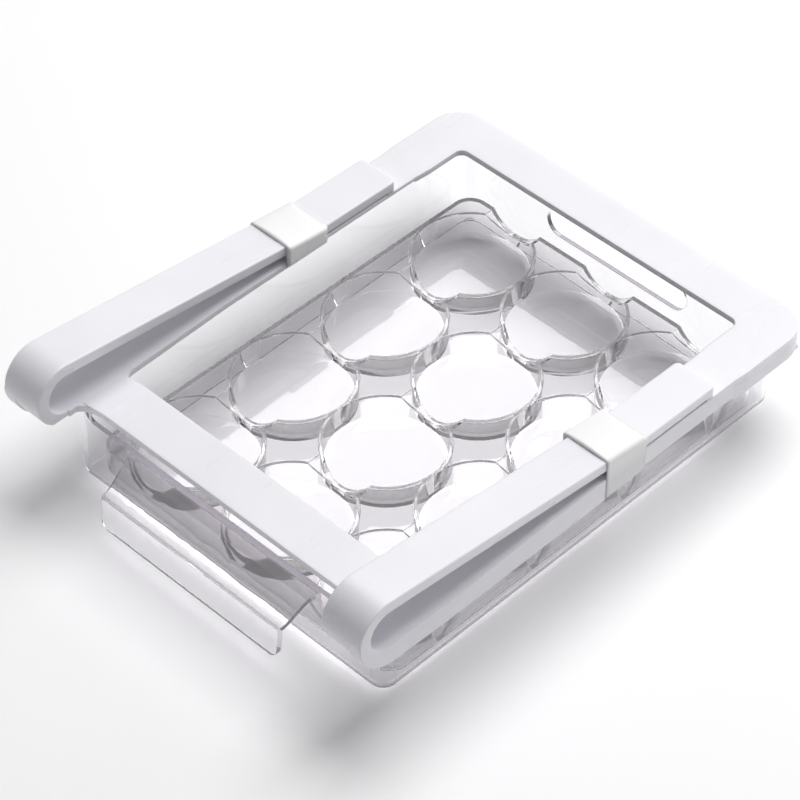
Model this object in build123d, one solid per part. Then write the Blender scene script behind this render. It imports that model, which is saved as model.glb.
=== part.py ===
from build123d import *
import math
import os

os.makedirs("parts", exist_ok=True)

# All sizes in millimetres. X runs along the front, Y from the front to the back, Z up.
# Heights below are given from the shelf plane, the top of the hanger ring. The finished
# pieces are raised so that the drawer stands on Z = 0, under the centre of the ring.

# Hanger ring
ring_width = 200.0
ring_length = 240.0
side_rail_width = 21.8
front_rail_width = 22.4
back_rail_width = 21.3
plate_thickness = 2.7
ring_corner_radius = 15.0
opening_corner_radius = 4.0
corner_drop = 2.0
side_ramp_start_y = -40.0
side_ramp_end_y = -95.0
front_ramp_length = 12.7
corner_plate_thickness = 3.0

# Skirt under the ring and the ledges that carry the drawer
skirt_thickness = 2.5
skirt_depth_rear = 10.4
skirt_depth_front = 11.7
ledge_thickness = 2.0
ledge_reach = 8.6
ledge_depth = 8.4
ledge_front_inset = 2.0
ledge_rear_inset = 7.0
stop_inset = 1.0
stop_height = 2.3
stop_width = 5.0
stop_length = 4.0
stop_rear_y = -56.0

# Clip ribbons: nose, arm and tongue
ribbon_inset = 0.6
ribbon_width = 20.6
nose_reach = 7.0
nose_center_z = 7.4
nose_radius = 14.75
loop_reach = 6.7
loop_center_z = 7.3
loop_radius = 9.2
tongue_start_y = 19.0
tongue_start_under = 0.99
tongue_start_top = 5.85
tongue_slit_height = 0.8
tongue_end_y = 59.2
tongue_top = 5.4
tongue_end_round = 2.4
tongue_foot_length = 5.2
tongue_foot_gap = 0.2
ribbon_edge_round = 0.7
cheek_radius = 19.0
cheek_width = 6.7
nose_blend_radius = 6.0

# Track for the lock sleeves
track_front_y = -6.7
track_rear_y = 70.8
track_inset = 0.6
track_runout = 8.0
lip_reach = 1.2
lip_height = 0.8
lip_rebate = 1.0

# Lock sleeve
sleeve_front_y = -6.3
sleeve_length = 23.0
sleeve_wall = 0.6
sleeve_fit = 0.2
sleeve_inner_reach = 1.9
sleeve_inner_drop = 0.6
sleeve_rise = 0.8
sleeve_crown = 1.0
sleeve_rise_rear = 0.75
sleeve_bevel_length = 3.7
sleeve_roof_fit = 0.2
sleeve_outer_shoulder = 1.8
sleeve_inner_shoulder = 1.6
sleeve_front_round = 0.4
sleeve_corner_round = 2.2

# Clear drawer bin
bin_side_gap = 0.9
bin_front_inset = 2.2
bin_rear_inset = 5.0
bin_height = 41.9
bin_wall = 2.0
bin_draft = 0.7
bin_corner_radius = 7.5
bin_bottom_radius = 4.0
front_rim_drop = 7.3
front_rim_side = 8.0
front_rim_corner_radius = 5.0
flange_thickness = 1.8
flange_lift = 0.2
flange_gap = 0.7
rear_nib_height = 2.3
rear_nib_length = 4.0
rear_slot_width = 79.0
rear_slot_height = 14.0
rear_slot_drop = 17.6

# Handle on the front rim
handle_thickness = 2.0
handle_lean = 32.0
handle_side = 24.4
handle_neck_reach = 6.6
handle_neck_taper = 3.9
handle_fold_taper = 5.4
handle_foot_taper = 6.0
handle_root_drop = 0.2
handle_shoulder_reach = 3.7
handle_shoulder_drop = 1.4
handle_middle_reach = 11.4
handle_middle_drop = 6.5
handle_fold_reach = 18.9
handle_fold_drop = 9.4
handle_foot_reach = 20.2
handle_foot_drop = 25.3
handle_corner_radius = 4.0

# Egg tray
tray_columns = 3
tray_rows = 4
cup_rim = 1.4
cup_draft = 0.6
tray_side_gap = 3.0
tray_end_gap = 4.4
tray_shift = 1.4
tray_margin = 1.5
tray_wall = 1.4
tray_floor = 1.5
tray_height = 12.0
tray_corner_radius = 9.0
tray_seat_gap = 0.1
saddle_width = 34.0
saddle_floor = 5.0

# Cutting shapes run this far past what they cut
cut_over = 1.0

half_ring = ring_width / 2
half_length = ring_length / 2
rail_inner_x = half_ring - side_rail_width
opening_front_y = -half_length + front_rail_width
opening_rear_y = half_length - back_rail_width
ribbon_outer_x = half_ring - ribbon_inset
ribbon_inner_x = ribbon_outer_x - ribbon_width
wall_inner_x = half_ring - skirt_thickness
ledge_front_y = -half_length + ledge_front_inset
ledge_rear_y = half_length - ledge_rear_inset
nose_center_y = -half_length - nose_reach
loop_center_y = -half_length - loop_reach
cheek_center_y = nose_center_y - nose_radius + cheek_radius
bin_half_width = wall_inner_x - ledge_reach - bin_side_gap
bin_front_y = -half_length + bin_front_inset
bin_rear_y = half_length - bin_rear_inset
bin_top = -ledge_depth + flange_lift + flange_thickness
bin_bottom = bin_top - bin_height
front_rim_top = bin_top - front_rim_drop
flange_outer_x = half_ring - cheek_width - flange_gap
handle_half_width = bin_half_width - front_rim_side - handle_side
draft_shrink = bin_height * math.tan(math.radians(bin_draft))


def tangent_lean(center_y, center_z, radius, end_y, end_z):
    """Downward angle of the line that leaves the top of a circle and ends at a point behind it."""
    run = end_y - center_y
    drop = center_z - end_z
    return math.atan2(drop, run) + math.asin(radius / math.hypot(run, drop))


lean_top = tangent_lean(nose_center_y, nose_center_z, nose_radius, tongue_start_y, tongue_start_top)
lean_under = tangent_lean(loop_center_y, loop_center_z, loop_radius, tongue_start_y, tongue_start_under)


def box(x0, x1, y0, y1, z0, z1):
    """Box between opposite corners."""
    corner = Pos((x0 + x1) / 2, (y0 + y1) / 2, (z0 + z1) / 2)
    return corner * Box(abs(x1 - x0), abs(y1 - y0), abs(z1 - z0))


def side_prism(face_yz, x0, x1):
    """Extrude a face drawn in the YZ plane from x0 to x1."""
    return Pos(x0, 0, 0) * extrude(face_yz, amount=x1 - x0, dir=(1, 0, 0))


def yz_polygon(points):
    """Face in the YZ plane from (y, z) points."""
    return make_face(Polyline([(0, y, z) for y, z in points], close=True).edges())


def both_sides(shape):
    """The shape and its mirror image across the YZ plane."""
    return shape + mirror(shape, about=Plane.YZ)


def ring_outline(inset):
    """Outline of the ring, narrower at its front and moved inwards by inset."""
    x = half_ring - inset
    front_x = ribbon_outer_x - inset
    front = -half_length - loop_radius
    rear = half_length - inset
    plan = make_face(
        Polyline(
            [
                (-front_x, front), (front_x, front), (front_x, -half_length),
                (x, side_ramp_end_y), (x, rear), (-x, rear),
                (-x, side_ramp_end_y), (-front_x, -half_length),
            ],
            close=True,
        ).edges()
    )
    rear_corners = plan.vertices().group_by(Axis.Y)[-1]
    return fillet(rear_corners, ring_corner_radius - inset)


def hanger_plate():
    """Flat ring with lowered front corners."""
    reach = opening_corner_radius
    low = -corner_drop
    side = yz_polygon([
        (half_length, 0),
        (side_ramp_start_y, 0),
        (side_ramp_end_y, low),
        (nose_center_y, low),
        (nose_center_y, low - corner_plate_thickness),
        (side_ramp_end_y, low - corner_plate_thickness),
        (side_ramp_start_y, -plate_thickness),
        (half_length, -plate_thickness),
    ])
    sides = both_sides(side_prism(side, rail_inner_x - reach, half_ring))
    sides -= box(
        -rail_inner_x, rail_inner_x, -ring_length, opening_front_y, -half_ring, half_ring
    )
    ramp_x = rail_inner_x - front_ramp_length
    front_points = [
        (-rail_inner_x, low),
        (-ramp_x, 0),
        (ramp_x, 0),
        (rail_inner_x, low),
        (rail_inner_x, low - corner_plate_thickness),
        (ramp_x, -plate_thickness),
        (-ramp_x, -plate_thickness),
        (-rail_inner_x, low - corner_plate_thickness),
    ]
    front_face = make_face(
        Polyline([(x, -half_length, z) for x, z in front_points], close=True).edges()
    )
    front = extrude(front_face, amount=front_rail_width + reach, dir=(0, 1, 0))
    back = box(
        -rail_inner_x, rail_inner_x, opening_rear_y - reach, half_length, -plate_thickness, 0
    )
    opening = RectangleRounded(
        2 * rail_inner_x, opening_rear_y - opening_front_y, opening_corner_radius
    )
    middle_y = (opening_front_y + opening_rear_y) / 2
    hole = Pos(0, middle_y, -half_ring) * extrude(opening, amount=ring_width, dir=(0, 0, 1))
    outline = Pos(0, 0, -half_ring) * extrude(ring_outline(0), amount=ring_width, dir=(0, 0, 1))
    return ((sides + front + back) & outline) - hole


def hanger_skirt():
    """Skirt under the outer edge with the two drawer ledges and their stops."""
    depth = skirt_depth_front
    outer = Pos(0, 0, -depth) * extrude(
        ring_outline(0), amount=depth - plate_thickness / 2, dir=(0, 0, 1)
    )
    inner = Pos(0, 0, -half_ring) * extrude(
        ring_outline(skirt_thickness), amount=ring_width, dir=(0, 0, 1)
    )
    wall = outer - inner
    wall -= box(-half_ring, half_ring, -ring_length, cheek_center_y, -half_ring, half_ring)
    top = side_prism(
        yz_polygon([
            (side_ramp_start_y, 0),
            (side_ramp_end_y, -corner_drop - plate_thickness / 2),
            (-ring_length, -corner_drop - plate_thickness / 2),
            (-ring_length, 0),
        ]),
        -half_ring, half_ring,
    )
    below = side_prism(
        yz_polygon([
            (-half_length, -skirt_depth_front),
            (half_length, -skirt_depth_rear),
            (half_length, -half_ring),
            (-half_length, -half_ring),
        ]),
        -half_ring, half_ring,
    )
    ledge_inner_x = wall_inner_x - ledge_reach
    ledge = box(
        ledge_inner_x, half_ring - skirt_thickness / 2, ledge_front_y, ledge_rear_y,
        -ledge_depth - ledge_thickness, -ledge_depth,
    )
    stop = box(
        ledge_inner_x + stop_inset, ledge_inner_x + stop_inset + stop_width,
        stop_rear_y - stop_length, stop_rear_y,
        -plate_thickness - stop_height, -plate_thickness / 2,
    )
    return wall - top - below + both_sides(ledge) + both_sides(stop)


def ribbon_face():
    """Side view of one clip ribbon: nose, arm and tongue in one strip."""
    top_y = nose_center_y + nose_radius * math.sin(lean_top)
    top_z = nose_center_z + nose_radius * math.cos(lean_top)
    loop_y = loop_center_y + loop_radius * math.sin(lean_under)
    loop_z = loop_center_z + loop_radius * math.cos(lean_under)
    base = -corner_drop - corner_plate_thickness
    drop = nose_center_z - base
    base_y = nose_center_y - math.sqrt(nose_radius ** 2 - drop ** 2)
    leg_y = side_ramp_end_y - nose_radius
    nose = ThreePointArc(
        (0, top_y, top_z), (0, nose_center_y - nose_radius, nose_center_z), (0, base_y, base)
    )
    leg = Polyline([
        (0, base_y, base),
        (0, leg_y, base),
        (0, leg_y, -corner_drop),
        (0, loop_center_y, loop_center_z - loop_radius),
    ])
    loop = ThreePointArc(
        (0, loop_center_y, loop_center_z - loop_radius),
        (0, loop_center_y - loop_radius, loop_center_z),
        (0, loop_y, loop_z),
    )
    strip = Polyline([
        (0, loop_y, loop_z),
        (0, tongue_start_y, tongue_start_under),
        (0, tongue_end_y, tongue_slit_height),
        (0, tongue_end_y, tongue_top),
        (0, tongue_start_y, tongue_start_top),
        (0, top_y, top_z),
    ])
    return make_face(nose.edges() + leg.edges() + loop.edges() + strip.edges())


def clip_ribbon():
    """Right clip ribbon with its deeper outer cheek."""
    ribbon = side_prism(ribbon_face(), ribbon_inner_x, ribbon_outer_x)
    tongue_end = ribbon.faces().sort_by(Axis.Y)[-1]
    ribbon = fillet(tongue_end.edges().filter_by(Axis.Z), tongue_end_round)
    sides = ribbon.faces().sort_by(Axis.X)
    outline = sides[0].edges() + sides[-1].edges()
    long_edges = outline.filter_by(lambda e: e.length > 1.5 * nose_radius)
    ribbon = fillet(long_edges, ribbon_edge_round)
    foot = box(
        ribbon_inner_x, ribbon_outer_x, tongue_end_y - tongue_foot_length, tongue_end_y,
        tongue_foot_gap, tongue_slit_height + 2 * ribbon_edge_round,
    )
    foot = fillet(foot.edges().filter_by(Axis.Z).group_by(Axis.Y)[-1], tongue_end_round)
    bottom = -skirt_depth_front
    half_turn = math.sin(math.pi / 4)
    arc = ThreePointArc(
        (0, cheek_center_y - cheek_radius, nose_center_z),
        (0, cheek_center_y - cheek_radius * half_turn, bottom + cheek_radius * (1 - half_turn)),
        (0, cheek_center_y, bottom),
    )
    rest = Polyline([
        (0, cheek_center_y, bottom),
        (0, ledge_front_y, bottom),
        (0, ledge_front_y, -corner_drop),
        (0, loop_center_y, -corner_drop),
        (0, cheek_center_y - cheek_radius, nose_center_z),
    ])
    cheek_face = make_face(arc.edges() + rest.edges())
    cheek = side_prism(cheek_face, half_ring - cheek_width, ribbon_outer_x)
    loop = side_prism(
        Pos(0, loop_center_y, loop_center_z) * (Plane.YZ * Circle(loop_radius)),
        half_ring - 2 * cheek_width, half_ring + cut_over,
    )
    cheek -= loop
    blend = box(
        ribbon_inner_x - nose_blend_radius, ribbon_inner_x + ribbon_edge_round,
        -half_length - nose_blend_radius, -half_length + ribbon_edge_round,
        -corner_drop - corner_plate_thickness, -corner_drop,
    )
    blend_center = Pos(
        ribbon_inner_x - nose_blend_radius, -half_length - nose_blend_radius, -half_ring
    )
    round_cut = blend_center * extrude(
        Circle(nose_blend_radius), amount=ring_width, dir=(0, 0, 1)
    )
    return ribbon + foot + cheek + (blend - round_cut)


def track_side(floor_x, face_x, far_x):
    """Recess in one face of a rail, whose floor runs out to the face at its rear end."""
    runout_y = track_rear_y + track_runout
    plan = Polyline(
        [
            (floor_x, track_front_y), (floor_x, track_rear_y), (face_x, runout_y),
            (far_x, runout_y), (far_x, track_front_y),
        ],
        close=True,
    )
    height = half_ring + cut_over
    return Pos(0, 0, -half_ring) * extrude(make_face(plan.edges()), amount=height, dir=(0, 0, 1))


def track_cut():
    """Shallow recess along one side rail in which a lock sleeve runs."""
    far_out = half_ring + cut_over
    far_in = rail_inner_x - cut_over
    edge_out = half_ring - track_inset
    edge_in = rail_inner_x + track_inset
    reach = lip_reach + sleeve_fit
    outer = track_side(edge_out, half_ring, far_out)
    inner = track_side(edge_in, rail_inner_x, far_in)
    under_out = box(
        edge_out - reach, far_out, track_front_y, track_rear_y,
        -half_ring, -skirt_depth_rear + lip_rebate,
    )
    under_in = box(
        far_in, edge_in + reach, track_front_y, track_rear_y,
        -plate_thickness - cut_over, -plate_thickness + lip_rebate,
    )
    return both_sides(outer + inner + under_out + under_in)


def hanger_frame():
    """Ring, skirt, ledges and both clip ribbons, one white moulding."""
    ring = hanger_plate() + hanger_skirt() - track_cut()
    return ring + both_sides(clip_ribbon())


def lock_sleeve():
    """Right lock sleeve, wrapped round the ribbon and the rail."""
    front = sleeve_front_y
    rear = sleeve_front_y + sleeve_length
    bevel = rear - sleeve_bevel_length
    channel_out = half_ring - track_inset + sleeve_fit
    channel_in = rail_inner_x + track_inset - sleeve_fit
    outer = channel_out + sleeve_wall
    inner = channel_in - sleeve_wall
    upper_inner = rail_inner_x - sleeve_inner_reach
    bottom_out = -skirt_depth_rear
    side_top = ribbon_top(front) + sleeve_rise
    crown = ThreePointArc(
        (upper_inner, front, side_top),
        ((upper_inner + outer) / 2, front, side_top + sleeve_crown),
        (outer, front, side_top),
    )
    sides = Polyline([
        (outer, front, side_top),
        (outer, front, -half_ring),
        (upper_inner, front, -half_ring),
        (upper_inner, front, side_top),
    ])
    section = make_face(crown.edges() + sides.edges())
    inner_top, outer_top = section.vertices().group_by(Axis.Z)[-1].sort_by(Axis.X)
    section = fillet(inner_top, sleeve_inner_shoulder)
    section = fillet(section.vertices().sort_by_distance(outer_top)[0], sleeve_outer_shoulder)
    run = (0, math.cos(lean_top), -math.sin(lean_top))
    body = extrude(section, amount=sleeve_length / math.cos(lean_top), dir=run)
    rear_top = ribbon_top(rear) + sleeve_rise_rear
    bevel_top = ribbon_top(bevel) + sleeve_rise + sleeve_crown
    bevel_slope = (bevel_top - rear_top) / sleeve_bevel_length
    body_face = yz_polygon([
        (front, bottom_out),
        (front, rear_top + bevel_slope * sleeve_length),
        (rear, rear_top),
        (rear, bottom_out),
    ])
    body &= side_prism(body_face, upper_inner, outer)
    front_face = body.faces().sort_by(Axis.Y)[0]
    body = fillet(front_face.edges().sort_by(Axis.Z)[-3:], sleeve_front_round)
    plan = make_face(
        Polyline(
            [(upper_inner, front), (outer, front), (outer, rear), (upper_inner, rear)], close=True
        ).edges()
    )
    rear_corner = plan.vertices().group_by(Axis.Y)[-1].sort_by(Axis.X)[0]
    plan = fillet(rear_corner, sleeve_corner_round)
    body &= Pos(0, 0, -half_ring) * extrude(plan, amount=ring_width, dir=(0, 0, 1))
    channel_front = front - cut_over
    channel_rear = rear + cut_over
    channel = side_prism(
        yz_polygon([
            (channel_front, -half_ring),
            (channel_front, ribbon_top(channel_front) + sleeve_roof_fit),
            (channel_rear, ribbon_top(channel_rear) + sleeve_roof_fit),
            (channel_rear, -half_ring),
        ]),
        channel_in, channel_out,
    )
    roof_edges = channel.faces().sort_by(Axis.Z)[-1].edges().group_by(SortBy.LENGTH)[-1]
    channel = fillet(roof_edges, ribbon_edge_round + sleeve_fit)
    below_inner = box(
        upper_inner - cut_over, inner, channel_front, channel_rear, -half_ring, -sleeve_inner_drop
    )
    inner_floor = box(
        inner - cut_over, (inner + outer) / 2, channel_front, channel_rear,
        -half_ring, -plate_thickness,
    )
    lip_out = box(
        channel_out - lip_reach, outer, front, rear, bottom_out, bottom_out + lip_height
    )
    lip_in = box(
        inner, channel_in + lip_reach, front, rear, -plate_thickness, -plate_thickness + lip_height
    )
    return body - channel - below_inner - inner_floor + lip_out + lip_in


def ribbon_top(y):
    """Height of the arm's upper face at y."""
    return tongue_start_top + math.tan(lean_top) * (tongue_start_y - y)


def bin_shell():
    """Open clear box with drafted walls."""
    middle_y = (bin_rear_y + bin_front_y) / 2
    width = 2 * (bin_half_width - draft_shrink)
    length = bin_rear_y - bin_front_y - 2 * draft_shrink
    corner = bin_corner_radius - draft_shrink
    base = RectangleRounded(width, length, corner)
    outer = Pos(0, middle_y, bin_bottom) * extrude(base, amount=bin_height, taper=-bin_draft)
    outer = fillet(outer.faces().sort_by(Axis.Z)[0].edges(), bin_bottom_radius)
    core = RectangleRounded(width - 2 * bin_wall, length - 2 * bin_wall, corner - bin_wall)
    cavity = Pos(0, middle_y, bin_bottom + bin_wall) * extrude(
        core, amount=bin_height, taper=-bin_draft
    )
    cavity = fillet(cavity.faces().sort_by(Axis.Z)[0].edges(), bin_bottom_radius - bin_wall)
    return outer - cavity


def drawer_bin():
    """Clear bin with side flanges, low front rim, rear slot and handle."""
    notch_height = 2 * (front_rim_drop + front_rim_corner_radius)
    notch_face = Plane.XZ * RectangleRounded(
        2 * (bin_half_width - front_rim_side), notch_height, front_rim_corner_radius
    )
    notch = Pos(0, bin_front_y + 2 * bin_wall, front_rim_top + notch_height / 2) * extrude(
        notch_face, amount=4 * bin_wall, dir=(0, -1, 0)
    )
    flange_front = bin_front_y + bin_corner_radius
    flange_rear = bin_rear_y - bin_corner_radius
    root_x = bin_half_width - bin_wall
    flange = box(
        root_x, flange_outer_x, flange_front, flange_rear, bin_top - flange_thickness, bin_top
    )
    nib = box(
        root_x, flange_outer_x, flange_rear - rear_nib_length, flange_rear,
        bin_top - flange_thickness / 2, bin_top + rear_nib_height,
    )
    slot_face = Plane.XZ * SlotOverall(rear_slot_width, rear_slot_height)
    slot = Pos(0, bin_rear_y + bin_wall, bin_top - rear_slot_drop) * extrude(
        slot_face, amount=4 * bin_wall, dir=(0, -1, 0)
    )
    return bin_shell() - notch + both_sides(flange + nib) - slot + handle()


def handle():
    """Curved clear pull with a folded-down foot."""
    crest = [
        (bin_front_y + bin_wall / 2, front_rim_top - handle_root_drop),
        (bin_front_y - handle_shoulder_reach, front_rim_top - handle_shoulder_drop),
        (bin_front_y - handle_middle_reach, front_rim_top - handle_middle_drop),
    ]
    fold_y = bin_front_y - handle_fold_reach
    fold_z = front_rim_top - handle_fold_drop
    foot_y = bin_front_y - handle_foot_reach
    foot_z = front_rim_top - handle_foot_drop
    lean = math.radians(handle_lean)
    shift_y = handle_thickness * math.sin(lean)
    shift_z = -handle_thickness * math.cos(lean)
    inside = (fold_y + handle_thickness, fold_z - handle_thickness)
    upper = Spline([(0, y, z) for y, z in crest + [(fold_y, fold_z)]])
    under = Spline([(0, y + shift_y, z + shift_z) for y, z in crest] + [(0, *inside)])
    foot = Polyline([
        (0, fold_y, fold_z),
        (0, foot_y, foot_z),
        (0, foot_y + handle_thickness, foot_z),
        (0, *inside),
    ])
    strip = upper.edges() + under.edges() + foot.edges() + Line(upper @ 0, under @ 0).edges()
    solid = side_prism(make_face(strip), -handle_half_width, handle_half_width)
    side = Spline([
        (handle_half_width, bin_front_y + bin_wall, 0),
        (handle_half_width - handle_neck_taper, bin_front_y - handle_neck_reach, 0),
        (handle_half_width - handle_fold_taper, fold_y, 0),
        (handle_half_width - handle_foot_taper, foot_y - handle_thickness, 0),
    ])
    left = mirror(side, about=Plane.YZ)
    plan = make_face(
        side.edges() + left.edges()
        + Line(side @ 0, left @ 0).edges() + Line(side @ 1, left @ 1).edges()
    )
    solid &= Pos(0, 0, -half_ring) * extrude(plan, amount=half_ring, dir=(0, 0, 1))
    corners = solid.faces().sort_by(Axis.Z)[0].edges().sort_by(SortBy.LENGTH)[:2]
    return fillet(corners, handle_corner_radius)


def egg_tray():
    """Clear insert with a grid of round cups, open underneath between the cups."""
    seat = bin_bottom + bin_wall + tray_seat_gap
    floor_reach = draft_shrink + bin_wall
    width = 2 * (bin_half_width - floor_reach - tray_side_gap)
    length = bin_rear_y - bin_front_y - 2 * (floor_reach + tray_end_gap)
    pitch_x = (width - 2 * tray_margin) / tray_columns
    pitch_y = (length - 2 * tray_margin) / tray_rows
    columns = [pitch_x * (i - (tray_columns - 1) / 2) for i in range(tray_columns)]
    rows = [pitch_y * (j - (tray_rows - 1) / 2) for j in range(tray_rows)]
    top_radius = (min(pitch_x, pitch_y) - cup_rim) / 2
    base_radius = top_radius - cup_draft
    on_floor = (Align.CENTER, Align.CENTER, Align.MIN)
    outer = Pos(0, 0, seat) * extrude(
        RectangleRounded(width, length, tray_corner_radius), amount=tray_height
    )
    cup = Cone(base_radius, top_radius, tray_height - tray_floor, align=on_floor)
    hollow = Cone(
        base_radius + tray_wall, top_radius + tray_wall, tray_height + cut_over, align=on_floor
    )
    cups = [Pos(x, y, seat + tray_floor) * cup for x in columns for y in rows]
    void = Pos(0, 0, seat - cut_over) * extrude(
        RectangleRounded(
            width - 2 * tray_wall, length - 2 * tray_wall, tray_corner_radius - tray_wall
        ),
        amount=tray_height + cut_over - tray_wall,
    )
    void -= [Pos(x, y, seat - cut_over) * hollow for x in columns for y in rows]
    void -= [Pos(x, 0, 0) * saddle(length, seat, tray_wall) for x in columns]
    troughs = [Pos(x, 0, 0) * saddle(length, seat, 0) for x in columns]
    return Pos(0, (bin_front_y + bin_rear_y) / 2 + tray_shift, 0) * (outer - cups - void - troughs)


def saddle(length, seat, wall):
    """Round-bottomed trough along Y that lowers the rims between the rows, grown by wall."""
    radius = saddle_width / 2 + wall
    section = Plane.XZ * (Circle(radius) + Pos(0, radius) * Rectangle(2 * radius, 2 * radius))
    middle_z = seat + saddle_floor + saddle_width / 2
    return Pos(0, length, middle_z) * extrude(section, amount=2 * length, dir=(0, -1, 0))


nodes = {
    "hanger_frame": hanger_frame(),
    "lock_sleeve_right": lock_sleeve(),
    "lock_sleeve_left": mirror(lock_sleeve(), about=Plane.YZ),
    "drawer_bin": drawer_bin(),
    "egg_tray": egg_tray(),
}

for name, shape in nodes.items():
    standing = Pos(0, 0, -bin_bottom) * shape
    export_step(standing, f"parts/{name}.step")
    size = standing.bounding_box()
    print(name, len(standing.solids()), round(standing.volume / 1000, 2), size.min, size.max)
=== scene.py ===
import math

import bpy
from mathutils import Matrix, Vector

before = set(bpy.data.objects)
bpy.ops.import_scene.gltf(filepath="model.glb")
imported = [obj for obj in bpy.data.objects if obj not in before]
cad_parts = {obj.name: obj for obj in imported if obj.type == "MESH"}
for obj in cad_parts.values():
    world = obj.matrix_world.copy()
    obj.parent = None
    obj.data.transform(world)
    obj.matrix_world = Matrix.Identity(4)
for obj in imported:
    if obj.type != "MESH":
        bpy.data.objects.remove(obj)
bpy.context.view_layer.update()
scene = bpy.context.scene
scene.view_settings.view_transform = "Standard"

# Camera, fitted to the photograph's straight edges
CAMERA_PLACE = (0.67509, -0.71824, 0.97786)
CAMERA_AZIMUTH = 43.993
CAMERA_ELEVATION = 44.233
CAMERA_ROLL = 0.554
CAMERA_LENS = 150.69
CAMERA_SENSOR = 36.0

# Lamps: place, side length in metres, power in watts
TOP_LAMP = ((-0.1, 0.7, 1.7), 1.4, 33)
REAR_LAMP = ((0.5, 1.9, 0.6), 1.6, 13)
LAMP_TARGET = (0, 0, 0.03)
SKY_COLOUR = (0.98, 0.98, 1.0)
SKY_STRENGTH = 0.20
FLOOR_REACH = 4.0

# White plastic: refraction, and the light that passes through the thin walls
WHITE_IOR = 1.49
WHITE_SCATTER = 0.35
WHITE_SCATTER_DEPTH = 0.004
SKIN_GRAIN = 0.0006
ROUGH_SPREAD = 0.05

# Clear plastic: refraction, and the colour of the light that passes a wall unbent
CLEAR_IOR = 1.52
CLEAR_EDGE = 0.0005
CLEAR_SHADOW = (0.99, 0.985, 0.99, 1)
SCUFF_ROUGH = 0.12

# Light that has bounced more often than this passes straight through the clear walls
CLEAR_BOUNCES = 3

# Samples of the soft edge
EDGE_SAMPLES = 6


def add_camera():
    data = bpy.data.cameras.new("camera")
    data.lens = CAMERA_LENS
    data.sensor_width = CAMERA_SENSOR
    data.sensor_fit = "HORIZONTAL"
    camera = bpy.data.objects.new("camera", data)
    scene.collection.objects.link(camera)
    turn = Matrix.Rotation(math.radians(CAMERA_AZIMUTH), 4, "Z")
    tilt = Matrix.Rotation(math.radians(90 - CAMERA_ELEVATION), 4, "X")
    roll = Matrix.Rotation(math.radians(CAMERA_ROLL), 4, "Z")
    camera.matrix_world = Matrix.Translation(CAMERA_PLACE) @ turn @ tilt @ roll
    scene.camera = camera


class Nodes:
    """A new node material with short calls to add and join nodes."""

    def __init__(self, name):
        self.material = bpy.data.materials.new(name)
        self.material.use_nodes = True
        self.tree = self.material.node_tree
        self.tree.nodes.clear()
        self.output = self.add("ShaderNodeOutputMaterial")
        self.place = self.add("ShaderNodeTexCoord").outputs["Object"]

    def add(self, kind, **values):
        node = self.tree.nodes.new(kind)
        for key, value in values.items():
            setattr(node, key, value)
        return node

    def join(self, source, target):
        self.tree.links.new(source, target)

    def noise(self, size, detail=2.0, rough=0.5, stretch=None):
        """Noise whose features are about size metres across."""
        place = self.place
        if stretch:
            mapping = self.add("ShaderNodeMapping")
            mapping.inputs["Scale"].default_value = stretch
            self.join(place, mapping.inputs["Vector"])
            place = mapping.outputs["Vector"]
        noise = self.add("ShaderNodeTexNoise")
        noise.inputs["Scale"].default_value = 1 / size
        noise.inputs["Detail"].default_value = detail
        noise.inputs["Roughness"].default_value = rough
        self.join(place, noise.inputs["Vector"])
        return noise.outputs["Fac"]

    def spread(self, source, low, high, to_low, to_high):
        """The source's low to high, mapped to to_low to to_high."""
        node = self.add("ShaderNodeMapRange")
        for key, value in zip(("From Min", "From Max", "To Min", "To Max"), (low, high, to_low, to_high)):
            node.inputs[key].default_value = value
        self.join(source, node.inputs["Value"])
        return node.outputs["Result"]

    def tint(self, source, low, high):
        """Colour that goes from low to high with the source."""
        node = self.add("ShaderNodeMix", data_type="RGBA")
        node.inputs[6].default_value = (*low, 1)
        node.inputs[7].default_value = (*high, 1)
        self.join(source, node.inputs["Factor"])
        return node.outputs[2]

    def bump(self, source, height, strength=1.0, under=None):
        """Bump of the given height in metres, over the normal under it."""
        node = self.add("ShaderNodeBump")
        node.inputs["Strength"].default_value = strength
        node.inputs["Distance"].default_value = height
        self.join(source, node.inputs["Height"])
        if under is not None:
            self.join(under, node.inputs["Normal"])
        return node.outputs["Normal"]

    def soft_edge(self, radius):
        """Normal that rounds sharp edges by the radius in metres."""
        node = self.add("ShaderNodeBevel", samples=EDGE_SAMPLES)
        node.inputs["Radius"].default_value = radius
        return node.outputs["Normal"]


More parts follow.
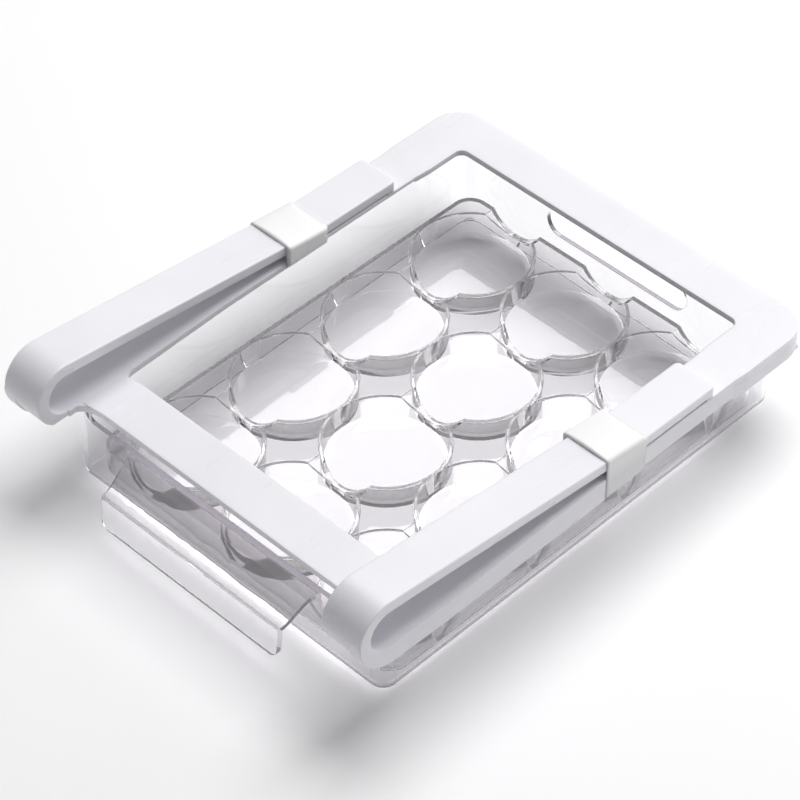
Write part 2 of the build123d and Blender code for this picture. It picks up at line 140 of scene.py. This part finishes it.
def white_plastic(name, dark, light, rough, grain, edge, painted_highlight_foot=None):
    """Moulded white plastic: satin skin, faint flow marks and rounded edges.

    With a foot the colour fades from the foot's colour below the lower of its two heights to the part's
    own lighter colour above the higher, a painted highlight on the part's top.
    """
    n = Nodes(name)
    shader = n.add("ShaderNodeBsdfPrincipled")
    cloud = n.noise(0.045, detail=3.0)
    colour = n.tint(n.spread(cloud, 0.3, 0.7, 0, 1), dark, light)
    # Painted highlight: above the foot's heights the colour is lighter than the foot's colour
    if painted_highlight_foot:
        foot_colour, low, high = painted_highlight_foot
        split = n.add("ShaderNodeSeparateXYZ")
        n.join(n.place, split.inputs["Vector"])
        fade = n.add("ShaderNodeMix", data_type="RGBA")
        fade.inputs[6].default_value = (*foot_colour, 1)
        n.join(colour, fade.inputs[7])
        n.join(n.spread(split.outputs["Z"], low, high, 0, 1), fade.inputs["Factor"])
        colour = fade.outputs[2]
    n.join(colour, shader.inputs["Base Color"])
    fine = n.noise(SKIN_GRAIN, detail=1.0)
    flow = n.noise(0.02, detail=4.0, stretch=(1.0, 0.25, 1.0))
    roughness = n.spread(flow, 0.3, 0.7, rough - ROUGH_SPREAD, rough + ROUGH_SPREAD)
    n.join(roughness, shader.inputs["Roughness"])
    normal = n.bump(fine, grain, under=n.soft_edge(edge))
    n.join(normal, shader.inputs["Normal"])
    shader.inputs["IOR"].default_value = WHITE_IOR
    shader.inputs["Subsurface Weight"].default_value = WHITE_SCATTER
    shader.inputs["Subsurface Radius"].default_value = (1, 1, 1)
    shader.inputs["Subsurface Scale"].default_value = WHITE_SCATTER_DEPTH
    n.join(shader.outputs["BSDF"], n.output.inputs["Surface"])
    return n.material


def clear_plastic(name, tint, wave, density):
    """Clear styrene: glass-like, faintly tinted, with moulding waves and fine scuffs.

    Lamps shine straight through it, so that it casts only a faint shadow.
    """
    n = Nodes(name)
    shader = n.add("ShaderNodeBsdfPrincipled")
    shader.inputs["Transmission Weight"].default_value = 1.0
    shader.inputs["IOR"].default_value = CLEAR_IOR
    shader.inputs["Base Color"].default_value = (1, 1, 1, 1)
    scuff = n.noise(0.004, detail=5.0, rough=0.7, stretch=(1.0, 3.0, 1.0))
    n.join(n.spread(scuff, 0.55, 0.8, 0.0, SCUFF_ROUGH), shader.inputs["Roughness"])
    slow = n.noise(0.03, detail=1.0)
    n.join(n.bump(slow, wave, under=n.soft_edge(CLEAR_EDGE)), shader.inputs["Normal"])
    passing = n.add("ShaderNodeBsdfTransparent")
    passing.inputs["Color"].default_value = CLEAR_SHADOW
    path = n.add("ShaderNodeLightPath")
    deep = n.add("ShaderNodeMath", operation="GREATER_THAN")
    deep.inputs[1].default_value = CLEAR_BOUNCES
    n.join(path.outputs["Ray Depth"], deep.inputs[0])
    either = n.add("ShaderNodeMath", operation="MAXIMUM")
    n.join(path.outputs["Is Shadow Ray"], either.inputs[0])
    n.join(deep.outputs["Value"], either.inputs[1])
    mix = n.add("ShaderNodeMixShader")
    n.join(either.outputs["Value"], mix.inputs["Fac"])
    n.join(shader.outputs["BSDF"], mix.inputs[1])
    n.join(passing.outputs["BSDF"], mix.inputs[2])
    n.join(mix.outputs["Shader"], n.output.inputs["Surface"])
    volume = n.add("ShaderNodeVolumeAbsorption")
    volume.inputs["Color"].default_value = (*tint, 1)
    volume.inputs["Density"].default_value = density
    n.join(volume.outputs["Volume"], n.output.inputs["Volume"])
    return n.material


def floor_material():
    n = Nodes("floor")
    shader = n.add("ShaderNodeBsdfPrincipled")
    cloud = n.noise(0.4, detail=3.0)
    n.join(n.tint(cloud, (0.95, 0.95, 0.955), (0.97, 0.97, 0.975)), shader.inputs["Base Color"])
    shader.inputs["Roughness"].default_value = 0.7
    n.join(shader.outputs["BSDF"], n.output.inputs["Surface"])
    return n.material


def add_floor():
    far = FLOOR_REACH
    data = bpy.data.meshes.new("floor")
    corners = [(-far, -far, 0), (far, -far, 0), (far, far, 0), (-far, far, 0)]
    data.from_pydata(corners, [], [(0, 1, 2, 3)])
    floor = bpy.data.objects.new("floor", data)
    scene.collection.objects.link(floor)
    floor.data.materials.append(floor_material())


def add_light(name, place, size, power):
    """White square lamp of the given size that faces the middle of the object."""
    data = bpy.data.lights.new(name, "AREA")
    data.shape = "SQUARE"
    data.size = size
    data.energy = power
    lamp = bpy.data.objects.new(name, data)
    scene.collection.objects.link(lamp)
    away = Vector(place) - Vector(LAMP_TARGET)
    lamp.matrix_world = Matrix.Translation(place) @ away.to_track_quat("Z", "Y").to_matrix().to_4x4()


def add_world(colour, strength):
    world = bpy.data.worlds.new("studio")
    world.use_nodes = True
    back = world.node_tree.nodes["Background"]
    back.inputs["Color"].default_value = (*colour, 1)
    back.inputs["Strength"].default_value = strength
    scene.world = world


add_camera()
add_floor()
add_world(SKY_COLOUR, SKY_STRENGTH)
add_light("top", *TOP_LAMP)
add_light("rear", *REAR_LAMP)

satin = white_plastic("ring_white", (0.795, 0.792, 0.83), (0.835, 0.832, 0.87), 0.30, 0.00002, 0.0007)
# Painted highlight on the sleeve: its colour is whiter above 53 mm and fades to the ring's colour below
# 45 mm, where its sides turn down to the rail
sleeve_painted_highlight_fade = ((0.83, 0.835, 0.86), 0.045, 0.053)
gloss_and_painted_highlight = white_plastic(
    "sleeve_white", (0.97, 0.97, 0.972), (0.99, 0.99, 0.99), 0.25, 0.000006, 0.0018, sleeve_painted_highlight_fade
)
bin_clear = clear_plastic("bin_clear", (0.78, 0.73, 0.82), 0.0002, 40)
tray_clear = clear_plastic("tray_clear", (0.85, 0.82, 0.86), 0.0003, 6)

finishes = {
    "hanger_frame": satin,
    "lock_sleeve_left": gloss_and_painted_highlight,
    "lock_sleeve_right": gloss_and_painted_highlight,
    "drawer_bin": bin_clear,
    "egg_tray": tray_clear,
}
for node, material in finishes.items():
    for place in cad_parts[node].material_slots:
        place.material = material
